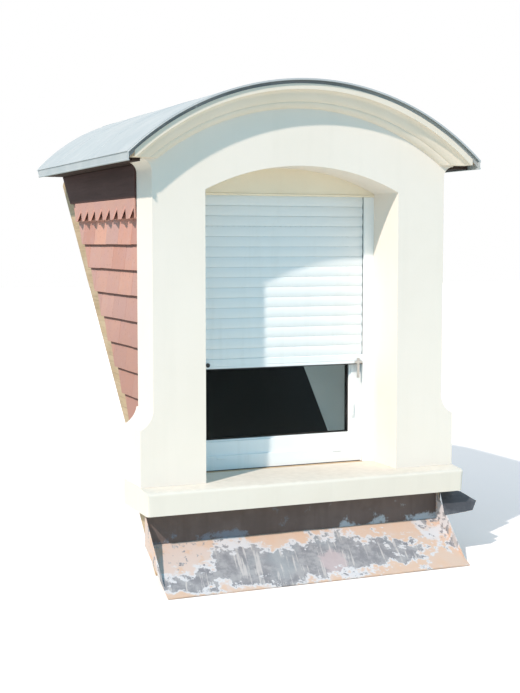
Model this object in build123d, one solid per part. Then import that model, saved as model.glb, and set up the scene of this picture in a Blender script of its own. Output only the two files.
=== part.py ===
from build123d import *
import os
from math import cos, radians, sin, sqrt, tan

os.makedirs("parts", exist_ok=True)

# Dormer window with a segmental head. Millimetres, X along the front, Y into the house, Z up.
# The outline is drawn with Y = 0 on the front face and Z = 0 on top of the sill.

# Main roof the dormer stands on
roof_pitch = 46.0
roof_level = -100.0            # height of the tile surface under the front face
kerb_depth = 160.0             # measured square to the tile surface
kerb_end_inset = 4.0
top_kerb_width = 90.0

# Window opening
opening_width = 800.0
spring_height = 1083.0
arch_rise = 94.0

# Stone surround
pilaster_width = 204.5
surround_depth = 200.0
exposed_side = 180.0
plinth_height = 210.0
plinth_flare = 50.0
cavetto_height = 65.0

# Sill
sill_overlength = 2.0
sill_projection = 81.0
sill_thickness = 92.0
sill_front_drop = 6.0
sill_end_radius = 14.0
sill_nose_radius = 12.0
groove_width = 12.0
groove_depth = 8.0
groove_setback = 22.0
groove_end_margin = 30.0

# Barrel roof
roof_radius = 1060.0
head_rise = 409.0                # from the springing of the opening to the crown of the roof
roof_half_width = 720.0
zinc_sheet = 2.0
boarding_thickness = 18.0
roof_overhang = 84.0
drip_sheet = 3.0
drip_height = 13.0
hem_height = 5.0
hem_depth = 3.0

# Cornice
cornice_projection = 70.0
cornice_end_setback = 30.0       # from the edge of the roof
cornice_end_drop = 18.0          # flat end below the springing of the moulding's top
cornice_top_fall = 8.0
cornice_depth = 82.0
cornice_fillet = 22.0
lower_fillet = 13.0
lower_projection = 30.0
cavetto_radius = 24.0
return_cavetto = 42.0            # under the eaves, on both flanks of the surround
return_lip = 4.0

# Cheeks
tile_thickness = 12.0
course_gauge = 96.6
cheek_board_thickness = 18.0
stud_depth = 120.0
stud_width = 45.0
plate_height = 45.0
stud_spacing = 400.0
plasterboard = 12.5
lining_depth = 375.0             # measured square to the tile surface, down to the room's ceiling
rib_thickness = 30.0
rib_void = 68.5                  # between the ceiling lining and the wall plates
rib_clearance = 10.0
rear_rib_setback = 49.0

# Eaves at the sides
eaves_board_width = 134.0
eaves_board_proud = 8.0
soffit_thickness = 12.0
fascia_height = 36.0
fascia_sheet = 2.0

# Pleated cover strip under the eaves board
pleat_count = 8
pleat_pitch = 105.0
pleat_depth = 16.0
pleat_height = 44.0
pleat_ridge = 0.12               # share of the pitch from the open mouth to the ridge
pleat_length = 0.72
pleat_sheet = 4.0
strip_drop = 66.0
strip_gap = 1.0

# Window and roller shutter
reveal_hidden = 30.0
bearer_margin = 6.0
tympanum_thickness = 12.0
head_below_spring = 12.0
frame_depth = 60.0
frame_width = 56.0
sash_offset = 8.0
sash_lap = 11.0
sash_width = 67.0
sash_depth = 60.0
bottom_frame_width = 58.0
glass_thickness = 24.0
glass_edge = 14.0
guide_width = 52.0
guide_depth = 26.0
guide_inset = 42.0
guide_slot_depth = 32.0
guide_slot_width = 10.0
slat_pitch = 39.5
slat_count = 16
slat_thickness = 8.0
slat_bulge = 2.6
bottom_bar_height = 41.0
bottom_bar_thickness = 9.0
box_depth = 188.0
box_height = 165.0
box_wall = 8.0

# Roof flashings below and beside the sill
upstand_sheet = 3.0
upstand_foot = -212.0
apron_sheet = 3.0
apron_reach = 255.0
apron_left = -640.0
apron_right = 585.0
apron_lift = 19.0
flap_sheet = 3.0
flap_leg_height = 70.0
flap_leg_length = 60.0
flap_corners = [(90.0, 18.0), (142.0, 52.0), (108.0, 80.0)]    # right of the kerb's end, below its top
flap_foot = 88.0
flap_apron_gap = 10.0

# Small clearance between curved faces
curve_gap = 0.3

half_opening = opening_width / 2
half_surround = half_opening + pilaster_width
half_frame = half_opening + reveal_hidden
half_plinth = half_surround + plinth_flare
head_height = spring_height - head_below_spring
roof_crown_height = spring_height + head_rise
roof_centre_height = roof_crown_height - roof_radius
boarding_outer = roof_radius - zinc_sheet - curve_gap
boarding_inner = boarding_outer - boarding_thickness
stone_radius = boarding_inner - curve_gap
tile_back = half_surround - 2 * tile_thickness
board_back = tile_back - cheek_board_thickness
stud_back = board_back - stud_depth
lining_face = stud_back - plasterboard
frame_front = surround_depth + guide_depth
window_back = frame_front + frame_depth + sash_offset
bearer_back = window_back + bearer_margin
rise = tan(radians(roof_pitch))
cornice_half_length = roof_half_width - cornice_end_setback
far = 3000.0


def slope_height(y, drop=0.0):
    """Height of the plane lying the given distance below the tile surface."""
    return roof_level - drop / cos(radians(roof_pitch)) + y * rise


def slope_reach(z, drop=0.0):
    """Depth at which that plane comes up to a height."""
    return (z - slope_height(0, drop)) / rise


def side_prism(outline, x0, x1):
    """Outline given as depth and height, drawn out along the front."""
    face = make_face(outline)
    return extrude(Plane.YZ.offset(x0) * face, amount=x1 - x0)


def side_polygon(points, x0, x1):
    return side_prism(Polyline(*points, close=True), x0, x1)


def front_prism(outline, y0, y1):
    """Outline given as width and height, drawn out into the house."""
    face = make_face(outline)
    return extrude(Plane.XZ.offset(-y0) * face, amount=y0 - y1)


def block(x0, x1, y0, y1, z0, z1):
    return Pos((x0 + x1) / 2, (y0 + y1) / 2, (z0 + z1) / 2) * Box(x1 - x0, y1 - y0, z1 - z0)


def under_slope(drop=0.0):
    """Everything below the tile surface or a plane parallel to it."""
    corners = [(-far, slope_height(-far, drop)), (far, slope_height(far, drop)), (far, -2 * far), (-far, -2 * far)]
    return side_polygon(corners, -far, far)


def arc_height(radius, x):
    return roof_centre_height + sqrt(radius ** 2 - x ** 2)


# Heights that follow from the curve of the roof
cornice_foot_height = arc_height(stone_radius, cornice_half_length) - cornice_end_drop
soffit_height = cornice_foot_height - soffit_thickness
eaves_board_bottom = soffit_height - eaves_board_width
first_course_height = eaves_board_bottom - strip_drop
plate_top = head_height + plasterboard + rib_void


def barrel(inner, outer, half_width, y0, y1):
    """Part of a tube lying along Y, cut plumb at both eaves."""
    tube_outline = [
        ThreePointArc(
            (-half_width, arc_height(outer, half_width)),
            (0, roof_centre_height + outer),
            (half_width, arc_height(outer, half_width)),
        ),
        Line((half_width, arc_height(outer, half_width)), (half_width, arc_height(inner, half_width))),
        ThreePointArc(
            (half_width, arc_height(inner, half_width)),
            (0, roof_centre_height + inner),
            (-half_width, arc_height(inner, half_width)),
        ),
        Line((-half_width, arc_height(inner, half_width)), (-half_width, arc_height(outer, half_width))),
    ]
    return front_prism(tube_outline, y0, y1)


def turned_moulding(profile):
    """Moulding turned about the barrel roof's axis; profile is depth and radius."""
    axis = Axis((0, 0, roof_centre_height), (0, 1, 0))
    face = Plane.YZ * (Pos(0, roof_centre_height) * make_face(profile))
    return revolve(face.rotate(axis, -50), axis, revolution_arc=100)


# Stone surround
def sill():
    half_length = half_plinth + sill_overlength
    nose = sill_nose_radius
    outline = [
        Polyline((-sill_projection + nose, -sill_front_drop), (0, 0), (surround_depth, 0),
                 (surround_depth, -sill_thickness), (-sill_projection, -sill_thickness),
                 (-sill_projection, -sill_front_drop - nose)),
        ThreePointArc((-sill_projection, -sill_front_drop - nose),
                      (-sill_projection + 0.3 * nose, -sill_front_drop - 0.3 * nose),
                      (-sill_projection + nose, -sill_front_drop)),
    ]
    body = side_prism(outline, -half_length, half_length)
    ends = body.edges().filter_by(Axis.Z).group_by(Axis.Y)[0]
    body = fillet(ends, sill_end_radius)
    groove_front = -sill_projection + groove_setback
    groove_end = half_length - groove_end_margin
    groove = block(-groove_end, groove_end, groove_front, groove_front + groove_width,
                   -sill_thickness, -sill_thickness + groove_depth)
    return body - groove


def jamb():
    """Right pilaster with its flared plinth; the left one mirrors it."""
    top_of_flare = plinth_height + cavetto_height
    outline = [
        Polyline((half_surround, top_of_flare), (half_surround, spring_height), (half_opening, spring_height),
                 (half_opening, 0), (half_plinth, 0), (half_plinth, plinth_height)),
        ThreePointArc((half_plinth, plinth_height),
                      (half_surround + 0.34 * plinth_flare, plinth_height + 0.4 * cavetto_height),
                      (half_surround, top_of_flare)),
    ]
    body = front_prism(outline, 0, surround_depth)
    rebate = block(tile_back, far, exposed_side, far, top_of_flare, far)
    return body - rebate


def arched_head():
    top_corner = arc_height(stone_radius, half_surround)
    outline = [
        Polyline((half_surround, top_corner), (half_surround, spring_height), (half_opening, spring_height)),
        ThreePointArc((half_opening, spring_height), (0, spring_height + arch_rise), (-half_opening, spring_height)),
        Polyline((-half_opening, spring_height), (-half_surround, spring_height), (-half_surround, top_corner)),
        ThreePointArc((-half_surround, top_corner), (0, roof_centre_height + stone_radius),
                      (half_surround, top_corner)),
    ]
    body = front_prism(outline, 0, surround_depth)
    for side in (-1, 1):
        outer = side * far
        inner = side * tile_back
        body -= block(min(outer, inner), max(outer, inner), exposed_side, far, 0, soffit_height)
    return body + eaves_return() + mirrored(eaves_return())


def eaves_return():
    """Cavetto that carries the cornice round the flank of the surround, below the soffit."""
    x0, x1 = half_surround, half_surround + return_cavetto
    z1 = cornice_foot_height
    z0 = z1 - return_lip - return_cavetto
    middle = (x1 - return_cavetto * cos(radians(45)), z0 + return_cavetto * sin(radians(45)))
    outline = [
        Polyline((x0, z0), (x0, z1), (x1, z1), (x1, z1 - return_lip)),
        ThreePointArc((x1, z1 - return_lip), middle, (x0, z0)),
    ]
    return front_prism(outline, 0, exposed_side)


def cornice():
    """Crown moulding: fillet, cyma recta, small fillet and cavetto."""
    top = stone_radius
    cyma_top = top - cornice_fillet
    cyma_foot = top - cornice_depth + cavetto_radius + lower_fillet + 2
    middle = ((-cornice_projection + 6 - lower_projection - 4) / 2, (cyma_top - 3 + cyma_foot) / 2)
    lip_top = top - cornice_top_fall
    profile = [
        Polyline((0, top - cornice_depth), (0, top), (-cornice_projection, lip_top), (-cornice_projection, cyma_top),
                 (-cornice_projection + 6, cyma_top - 3)),
        Spline((-cornice_projection + 6, cyma_top - 3), middle, (-lower_projection - 4, cyma_foot),
               tangents=[(0.2, -1), (0.3, -1)]),
        Polyline((-lower_projection - 4, cyma_foot), (-lower_projection, cyma_foot),
                 (-lower_projection, cyma_foot - lower_fillet)),
        ThreePointArc((-lower_projection, cyma_foot - lower_fillet),
                      (-lower_projection + 0.6 * cavetto_radius, cyma_foot - lower_fillet - 0.4 * cavetto_radius),
                      (-lower_projection + cavetto_radius, cyma_foot - lower_fillet - cavetto_radius)),
        Polyline((-lower_projection + cavetto_radius, cyma_foot - lower_fillet - cavetto_radius),
                 (0, top - cornice_depth)),
    ]
    keep = block(-cornice_half_length, cornice_half_length, -far, far, cornice_foot_height, far)
    return turned_moulding(profile) & keep


def tympanum_panel():
    return block(-half_frame, half_frame, surround_depth, surround_depth + tympanum_thickness,
                 head_height, head_height + box_height)


# Barrel roof
def roof_boarding():
    shell = barrel(boarding_inner, boarding_outer, roof_half_width - fascia_sheet, -roof_overhang, far)
    return shell - under_slope()


def zinc_roof():
    shell = barrel(roof_radius - zinc_sheet, roof_radius, roof_half_width, -roof_overhang, far)
    return shell - under_slope()


def front_drip():
    """Turned-down front edge of the metal roof, folded back on itself in a hem at the foot."""
    front = -roof_overhang - drip_sheet
    foot = roof_radius - drip_height
    section = Polyline(
        (-roof_overhang, foot), (-roof_overhang, roof_radius), (front, roof_radius), (front, foot + hem_height),
        (front - hem_depth, foot + 0.6 * hem_height), (front - hem_depth, foot + 0.2 * hem_height), (front, foot),
        close=True)
    return turned_moulding(section) & block(-roof_half_width, roof_half_width, -far, far, roof_centre_height, far)


def roof_rib(y0):
    """Curved former that carries the boarding between the two wall plates."""
    half_width = board_back
    foot = plate_top
    outline = [
        ThreePointArc((-half_width, arc_height(stone_radius, half_width)), (0, roof_centre_height + stone_radius),
                      (half_width, arc_height(stone_radius, half_width))),
        Polyline((half_width, arc_height(stone_radius, half_width)), (half_width, foot), (-half_width, foot),
                 (-half_width, arc_height(stone_radius, half_width))),
    ]
    return front_prism(outline, y0, y0 + rib_thickness)


def eaves_fascia():
    top = arc_height(roof_radius - zinc_sheet, roof_half_width) - curve_gap
    body = block(roof_half_width - fascia_sheet, roof_half_width, -roof_overhang, far, top - fascia_height, top)
    return body - under_slope()


def soffit():
    inner = half_surround
    body = block(inner, roof_half_width - fascia_sheet, 0, far, soffit_height, cornice_foot_height)
    body -= block(inner, inner + return_cavetto, 0, exposed_side, soffit_height, cornice_foot_height)
    under_boarding = Plane.XZ.offset(far) * Pos(0, roof_centre_height) * Circle(stone_radius)
    return (body & extrude(under_boarding, amount=-2 * far)) - under_slope()


def eaves_board():
    body = block(tile_back, half_surround + eaves_board_proud, exposed_side, far, eaves_board_bottom, soffit_height)
    return body - under_slope()


# Cheeks
def cheek_tiles():
    """Courses of flat tiles, each lapping over the one below."""
    points = [(tile_back, eaves_board_bottom), (half_surround - tile_thickness, eaves_board_bottom)]
    z = first_course_height
    points.append((half_surround, z))
    while z > roof_level:
        points.append((half_surround - tile_thickness, z))
        z -= course_gauge
        points.append((half_surround, z))
    points.append((tile_back, z))
    body = front_prism(Polyline(*points, close=True), exposed_side, far)
    plinth_room = block(0, far, 0, surround_depth, -far, plinth_height + cavetto_height)
    return body - under_slope() - plinth_room


def cheek_board():
    body = block(board_back, tile_back, surround_depth, far, -far, soffit_height)
    return body - under_slope()


def cheek_frame():
    """Stud wall with a wall plate, resting on the sloping kerb."""
    end = slope_reach(plate_top)
    wall = block(stud_back, board_back, surround_depth, end, -far, plate_top) - under_slope()
    y = surround_depth + stud_width
    while y < end:
        room = block(stud_back, board_back, y, y + stud_spacing - stud_width, -far, plate_top - plate_height)
        wall -= room - under_slope(-plate_height)
        y += stud_spacing
    return wall


def lining():
    """Cheek lining that runs on through the main roof down to the room's ceiling."""
    corners = [
        (surround_depth, slope_height(surround_depth, kerb_depth)),
        (surround_depth, head_height),
        (slope_reach(head_height, lining_depth), head_height),
        (bearer_back, slope_height(bearer_back, lining_depth)),
        (bearer_back, slope_height(bearer_back, kerb_depth)),
    ]
    return side_polygon(corners, lining_face, stud_back)


def front_lining():
    """Board behind the window bearer, from the window board down to the room's ceiling."""
    end = bearer_back + plasterboard
    corners = [(bearer_back, 0), (end, 0), (end, slope_height(end, lining_depth)),
               (bearer_back, slope_height(bearer_back, lining_depth))]
    return side_polygon(corners, -lining_face, lining_face)


def ceiling_lining():
    body = block(-stud_back, stud_back, surround_depth + tympanum_thickness + box_depth, far,
                 head_height, head_height + plasterboard)
    return body - under_slope(lining_depth)


def pleat(y, face_x):
    """One fold of the strip: a slim pyramid that narrows upwards."""
    foot = eaves_board_bottom - strip_drop
    ridge = y + pleat_ridge * pleat_pitch
    end = y + pleat_length * pleat_pitch
    base = Pos(0, 0, foot) * make_face(Polyline((face_x, y), (face_x + pleat_depth, ridge), (face_x, end), close=True))
    return loft([base, Vertex(face_x, ridge, foot + pleat_height)])


def cover_strip():
    """Sheet that is flat at the top and folded into pleats along its foot, each open towards the front."""
    start = exposed_side + 6
    back = half_surround + strip_gap
    front = back + pleat_sheet
    strip = block(back, front, start, start + pleat_count * pleat_pitch, eaves_board_bottom - strip_drop,
                  eaves_board_bottom)
    for i in range(pleat_count):
        strip += pleat(start + i * pleat_pitch + pleat_sheet, front)
    for i in range(pleat_count):
        strip -= pleat(start + i * pleat_pitch, back)
    return strip - under_slope()


# Window and shutter
def hollow_frame(x1, z0, z1, y0, y1, width, bottom_width):
    body = block(-x1, x1, y0, y1, z0, z1)
    return body - block(-x1 + width, x1 - width, y0, y1, z0 + bottom_width, z1 - width)


def window_frame():
    body = hollow_frame(half_frame, 0, head_height, frame_front, frame_front + frame_depth,
                        frame_width, bottom_frame_width)
    rebate = block(-half_frame + frame_width - sash_lap, half_frame - frame_width + sash_lap,
                   frame_front + sash_offset, far, bottom_frame_width - sash_lap,
                   head_height - frame_width + sash_lap)
    return body - rebate


def sash_size():
    x1 = half_frame - frame_width + sash_lap
    return x1, bottom_frame_width - sash_lap, head_height - frame_width + sash_lap


def sash():
    x1, z0, z1 = sash_size()
    y0 = frame_front + sash_offset
    body = hollow_frame(x1, z0, z1, y0, y0 + sash_depth, sash_width, sash_width)
    middle = y0 + sash_depth / 2
    groove = block(-x1 + sash_width - glass_edge, x1 - sash_width + glass_edge, middle - glass_thickness / 2,
                   middle + glass_thickness / 2, z0 + sash_width - glass_edge, z1 - sash_width + glass_edge)
    return body - groove


def glass():
    x1, z0, z1 = sash_size()
    middle = frame_front + sash_offset + sash_depth / 2
    return block(-x1 + sash_width - glass_edge, x1 - sash_width + glass_edge, middle - glass_thickness / 2,
                 middle + glass_thickness / 2, z0 + sash_width - glass_edge, z1 - sash_width + glass_edge)


def slot_centre():
    return surround_depth + 16.0


def shutter_guide():
    x0 = half_opening - guide_inset
    body = block(x0, x0 + guide_width, surround_depth, surround_depth + guide_depth, 0, head_height)
    slot = block(x0, x0 + guide_slot_depth, slot_centre() - guide_slot_width / 2,
                 slot_centre() + guide_slot_width / 2, 0, head_height)
    return body - slot


def curtain_half_width():
    return half_opening - guide_inset + guide_slot_depth - 6


def shutter_curtain():
    """Roller slats with bowed faces, drawn as one section."""
    foot = head_height - slat_count * slat_pitch
    back = slot_centre() + slat_thickness / 2
    front = slot_centre() - slat_thickness / 2 + slat_bulge
    outline = []
    for i in range(slat_count):
        z = foot + i * slat_pitch
        outline.append(ThreePointArc((front, z), (front - slat_bulge, z + slat_pitch / 2), (front, z + slat_pitch)))
    outline.append(Polyline((front, head_height), (back, head_height), (back, foot), (front, foot)))
    return side_prism(outline, -curtain_half_width(), curtain_half_width())


def shutter_bottom_bar():
    foot = head_height - slat_count * slat_pitch
    return block(-curtain_half_width(), curtain_half_width(), slot_centre() - bottom_bar_thickness / 2,
                 slot_centre() + bottom_bar_thickness / 2, foot - bottom_bar_height, foot)


def shutter_box():
    y0 = surround_depth + tympanum_thickness
    body = block(-stud_back, stud_back, y0, y0 + box_depth, head_height, head_height + box_height)
    room = block(-stud_back + box_wall, stud_back - box_wall, y0 + box_wall, y0 + box_depth - box_wall,
                 head_height + box_wall, head_height + box_height - box_wall)
    return body - room


# Kerb in the plane of the main roof
def front_kerb():
    corners = [(0, -sill_thickness), (surround_depth, -sill_thickness),
               (surround_depth, slope_height(surround_depth, kerb_depth)), (0, slope_height(0, kerb_depth))]
    half_length = half_surround - kerb_end_inset
    return side_polygon(corners, -half_length, half_length)


def window_bearer():
    corners = [(surround_depth, slope_height(surround_depth, kerb_depth)), (surround_depth, 0), (bearer_back, 0),
               (bearer_back, slope_height(bearer_back, kerb_depth))]
    return side_polygon(corners, -lining_face, lining_face)


def kerb_end():
    """Depth and height where the top kerb begins, on the underside plane."""
    z = head_height + plasterboard
    return slope_reach(z, kerb_depth), z


def top_kerb_outline(length):
    y, z = kerb_end()
    along = (cos(radians(roof_pitch)), sin(radians(roof_pitch)))
    square = (-sin(radians(roof_pitch)) * kerb_depth, cos(radians(roof_pitch)) * kerb_depth)
    return [(y, z), (y + along[0] * length, z + along[1] * length),
            (y + along[0] * length + square[0], z + along[1] * length + square[1]), (y + square[0], z + square[1])]


def top_kerb():
    return side_polygon(top_kerb_outline(top_kerb_width), -stud_back, stud_back)


def side_kerb():
    corners = top_kerb_outline(top_kerb_width)
    outline = [(surround_depth, slope_height(surround_depth)),
               (surround_depth, slope_height(surround_depth, kerb_depth)), corners[1], corners[2]]
    return side_polygon(outline, stud_back, board_back)


# Flashings
def front_upstand():
    return block(apron_left + apron_sheet, apron_right - apron_sheet, -upstand_sheet, 0, upstand_foot,
                 -sill_thickness)


def apron_flashing():
    """Tray that falls from the upstand on to the tiles, turned up at both sides to their surface."""
    foot = slope_height(-apron_reach) + apron_lift
    fall = (upstand_foot - foot) / (apron_reach - upstand_sheet)
    sheet = [(0, upstand_foot), (-upstand_sheet, upstand_foot), (-apron_reach, foot),
             (-apron_reach, foot - apron_sheet), (-upstand_sheet, upstand_foot - apron_sheet),
             (0, upstand_foot - apron_sheet)]
    meeting = (upstand_foot - roof_level + fall * upstand_sheet) / (rise - fall)
    side = [(0, upstand_foot), (0, slope_height(0)), (meeting, slope_height(meeting)), (-upstand_sheet, upstand_foot)]
    tray = side_polygon(sheet, apron_left, apron_right)
    tray += side_polygon(side, apron_left, apron_left + apron_sheet)
    return tray + side_polygon(side, apron_right - apron_sheet, apron_right)


def corner_flap():
    """Small sheet dressed over the tiles beside the sill and turned down the kerb's end."""
    inner = half_surround - kerb_end_inset
    top = slope_reach(-sill_thickness - flap_sheet)
    outline = [(inner, 0), (inner, top)] + [(inner + x, top - y) for x, y in flap_corners]
    outline.append((apron_right - flap_apron_gap, top - flap_foot))
    prism = Pos(0, 0, -far / 2) * extrude(make_face(Polyline(*outline, close=True)), amount=far)
    slab = [(-far / 2, slope_height(-far / 2)), (far / 2, slope_height(far / 2)),
            (far / 2, slope_height(far / 2) + flap_sheet), (-far / 2, slope_height(-far / 2) + flap_sheet)]
    flange = prism & side_polygon(slab, 0, far)
    leg_top = slope_height(top)
    leg = [(0, slope_height(0)), (top, leg_top), (flap_leg_length, leg_top),
           (flap_leg_length, leg_top - flap_leg_height), (0, leg_top - flap_leg_height)]
    return flange + side_polygon(leg, inner, inner + flap_sheet)


def mirrored(body):
    return mirror(body, about=Plane.YZ)


parts = {
    "sill": sill(),
    "right_jamb": jamb(),
    "left_jamb": mirrored(jamb()),
    "arched_head": arched_head(),
    "cornice": cornice(),
    "tympanum_panel": tympanum_panel(),
    "roof_boarding": roof_boarding(),
    "zinc_roof": zinc_roof(),
    "front_drip": front_drip(),
    "front_rib": roof_rib(surround_depth + tympanum_thickness + box_depth + rib_clearance),
    "rear_rib": roof_rib(slope_reach(plate_top) - rear_rib_setback - rib_thickness),
    "ceiling_lining": ceiling_lining(),
    "front_lining": front_lining(),
    "window_frame": window_frame(),
    "sash": sash(),
    "glass": glass(),
    "shutter_curtain": shutter_curtain(),
    "shutter_bottom_bar": shutter_bottom_bar(),
    "shutter_box": shutter_box(),
    "front_kerb": front_kerb(),
    "window_bearer": window_bearer(),
    "top_kerb": top_kerb(),
    "front_upstand": front_upstand(),
    "apron_flashing": apron_flashing(),
    "corner_flap": corner_flap(),
}
for name, make in (("cheek_tiles", cheek_tiles), ("cheek_board", cheek_board), ("cheek_frame", cheek_frame),
                   ("lining", lining), ("cover_strip", cover_strip), ("eaves_board", eaves_board),
                   ("soffit", soffit), ("eaves_fascia", eaves_fascia), ("shutter_guide", shutter_guide),
                   ("side_kerb", side_kerb)):
    body = make()
    parts["right_" + name] = body
    parts["left_" + name] = mirrored(body)

# The frame's origin is the middle of the front kerb's sloping underside
origin = (0, surround_depth / 2, slope_height(surround_depth / 2, kerb_depth))
for name, body in parts.items():
    placed = Pos(-origin[0], -origin[1], -origin[2]) * body
    export_step(placed, f"parts/{name}.step")
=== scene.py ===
import random
from collections import namedtuple
from math import asin, atan2, cos, hypot, pi, radians, sin, sqrt, tan

import bmesh
import bpy
from mathutils import Matrix, Vector


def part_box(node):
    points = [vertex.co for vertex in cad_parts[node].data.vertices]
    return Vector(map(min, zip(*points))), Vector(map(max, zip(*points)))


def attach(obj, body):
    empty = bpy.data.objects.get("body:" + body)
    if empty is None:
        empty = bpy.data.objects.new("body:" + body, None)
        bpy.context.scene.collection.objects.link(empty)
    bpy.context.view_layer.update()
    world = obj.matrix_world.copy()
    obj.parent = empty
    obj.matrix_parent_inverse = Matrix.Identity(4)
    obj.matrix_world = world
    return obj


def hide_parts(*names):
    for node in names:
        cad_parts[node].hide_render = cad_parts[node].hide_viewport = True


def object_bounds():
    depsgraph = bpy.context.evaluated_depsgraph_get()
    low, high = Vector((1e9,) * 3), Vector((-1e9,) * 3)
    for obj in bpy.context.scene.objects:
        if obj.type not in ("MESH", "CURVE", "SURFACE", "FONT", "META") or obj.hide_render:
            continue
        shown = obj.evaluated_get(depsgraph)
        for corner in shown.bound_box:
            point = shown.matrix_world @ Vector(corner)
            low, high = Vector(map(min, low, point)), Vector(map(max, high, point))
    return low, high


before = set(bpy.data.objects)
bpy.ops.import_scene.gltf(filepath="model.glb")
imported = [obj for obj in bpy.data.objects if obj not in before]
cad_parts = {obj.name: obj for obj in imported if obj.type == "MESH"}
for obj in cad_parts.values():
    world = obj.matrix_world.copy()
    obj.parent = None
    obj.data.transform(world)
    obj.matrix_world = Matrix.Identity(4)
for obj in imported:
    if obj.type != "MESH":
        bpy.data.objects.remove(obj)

cad_low, cad_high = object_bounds()

# Places are metres right of the dormer's middle, behind its front and above the top of its sill
Place = namedtuple("Place", "x y z")
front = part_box("right_jamb")[0].y              # face of the pilasters, in the frame
sill_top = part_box("sill")[1].z


def at(x, y, z):
    """Point in the frame."""
    return Vector((x, front + y, sill_top + z))


def low(node):
    """Lowest corner of a node."""
    x, y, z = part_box(node)[0]
    return Place(x, y - front, z - sill_top)


def high(node):
    """Highest corner of a node."""
    x, y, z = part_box(node)[1]
    return Place(x, y - front, z - sill_top)


# Places read from the frame
half_opening = low("right_jamb").x
half_surround = high("right_cheek_tiles").x
flare_end = high("arched_head").x
half_plinth = high("right_jamb").x
surround_depth = high("right_jamb").y
spring = high("right_jamb").z
head_height = high("window_frame").z
half_roof = high("zinc_roof").x
crown = high("zinc_roof").z
overhang = -low("zinc_roof").y
roof_end = high("zinc_roof").y
soffit_height = low("left_soffit").z
cornice_foot = high("left_soffit").z
strip_foot = low("left_cover_strip").z
tile_back = low("right_cheek_tiles").x
frame_front = low("window_frame").y
curtain_half = high("shutter_curtain").x
curtain_foot = low("shutter_curtain").z
curtain_front = low("shutter_curtain").y
curtain_back = high("shutter_curtain").y

# Sizes that the frame's boxes don't give
roof_radius = 1.060
roof_build_up = 0.0206                         # metal sheets and boards
roof_centre = crown - roof_radius
stone_radius = roof_radius - roof_build_up
lip_rise = 0.0030                              # of the cornice's front fillet above its top
lip_reach = 0.0030                             # of that fillet beyond the frame's cornice
board_lift = 0.010                             # of the eaves boards' foot above the frame's
board_foot = low("left_eaves_board").z + board_lift
flare_lip = 0.004
pitch = radians(46)
tile_plane = -0.100                            # height of the main roof's tiles under the front
arch_rise = 0.094
plinth_height = 0.210
cavetto_height = 0.065
flare_top = plinth_height + cavetto_height
exposed_side = 0.180
course_gauge = 0.0966
tile_thickness = 0.012
tile_width = 0.168
tile_joint = 0.002
slat_pitch = 0.0395
slat_count = 16


def slope_height(y, drop=0.0):
    """Height of the main roof's tile surface, or of a plane below it, at a depth."""
    return tile_plane - drop / cos(pitch) + y * tan(pitch)


# Modelling

def only(piece):
    """Selects one piece and makes it the active one."""
    bpy.ops.object.select_all(action="DESELECT")
    piece.select_set(True)
    bpy.context.view_layer.objects.active = piece


def open_whole(piece):
    """Opens a piece for editing with all of it selected."""
    only(piece)
    bpy.ops.object.mode_set(mode="EDIT")
    bpy.ops.mesh.select_mode(type="VERT")
    bpy.ops.mesh.select_all(action="SELECT")


def open_edges(piece, test):
    """Opens a piece for editing with the edges selected that pass a test."""
    only(piece)
    bpy.ops.object.mode_set(mode="EDIT")
    bpy.ops.mesh.select_mode(type="EDGE")
    bpy.ops.mesh.select_all(action="DESELECT")
    mesh = bmesh.from_edit_mesh(piece.data)
    for edge in mesh.edges:
        if test(edge):
            edge.select_set(True)
    mesh.select_flush_mode()
    bmesh.update_edit_mesh(piece.data)


def close(piece):
    bpy.ops.object.mode_set(mode="OBJECT")
    return piece


def modified(piece, kind, **settings):
    """Gives a piece a modifier with its settings and applies it."""
    only(piece)
    modifier = piece.modifiers.new("shaping", kind)
    for key, value in settings.items():
        setattr(modifier, key, value)
    bpy.ops.object.modifier_apply(modifier=modifier.name)
    return piece


def primitive(name, kind, **settings):
    """Adds a primitive at its size and place, and puts the place into its mesh."""
    bpy.ops.object.select_all(action="DESELECT")
    getattr(bpy.ops.mesh, f"primitive_{kind}_add")(**settings)
    piece = bpy.context.object
    piece.name = name
    bpy.ops.object.transform_apply(location=True, rotation=True, scale=True)
    return piece


def slab(name, x0, x1, y0, y1, z0, z1):
    """Cuboid added at its size and place."""
    a, b = at(x0, y0, z0), at(x1, y1, z1)
    return primitive(name, "cube", size=1, location=(a + b) / 2, scale=b - a)


def rod(name, centre, radius, length, axis="Z", sides=16):
    """Cylinder added at its size and place along an axis."""
    turn = {"X": (0, pi / 2, 0), "Y": (pi / 2, 0, 0), "Z": (0, 0, 0)}[axis]
    return primitive(name, "cylinder", vertices=sides, radius=radius, depth=length, location=centre, rotation=turn)


def drawn(name, points):
    """Closed outline drawn by extruding one corner from point to point."""
    piece = primitive(name, "plane", size=0.001, location=points[0])
    open_whole(piece)
    bpy.ops.mesh.merge(type="CENTER")
    for start, end in zip(points, points[1:] + points[:1]):
        bpy.ops.mesh.extrude_region_move(TRANSFORM_OT_translate={"value": end - start})
    bpy.ops.mesh.select_all(action="SELECT")
    bpy.ops.mesh.remove_doubles(threshold=0.00001)
    return close(piece)


def drawn_out(name, points, run):
    """Solid made by filling a drawn outline and extruding it along a run."""
    piece = drawn(name, points)
    open_whole(piece)
    bpy.ops.mesh.edge_face_add()
    bpy.ops.mesh.extrude_region_move(TRANSFORM_OT_translate={"value": run})
    bpy.ops.mesh.select_all(action="SELECT")
    bpy.ops.mesh.normals_make_consistent(inside=False)
    return close(piece)


def front_shape(name, points, y0, y1):
    """Solid from an outline of (x, z) points, drawn out into the house."""
    return drawn_out(name, [at(x, y0, z) for x, z in points], Vector((0, y1 - y0, 0)))


def side_shape(name, points, x0, x1):
    """Solid from an outline of (y, z) points, drawn out along the front."""
    return drawn_out(name, [at(x0, y, z) for y, z in points], Vector((x1 - x0, 0, 0)))


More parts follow.
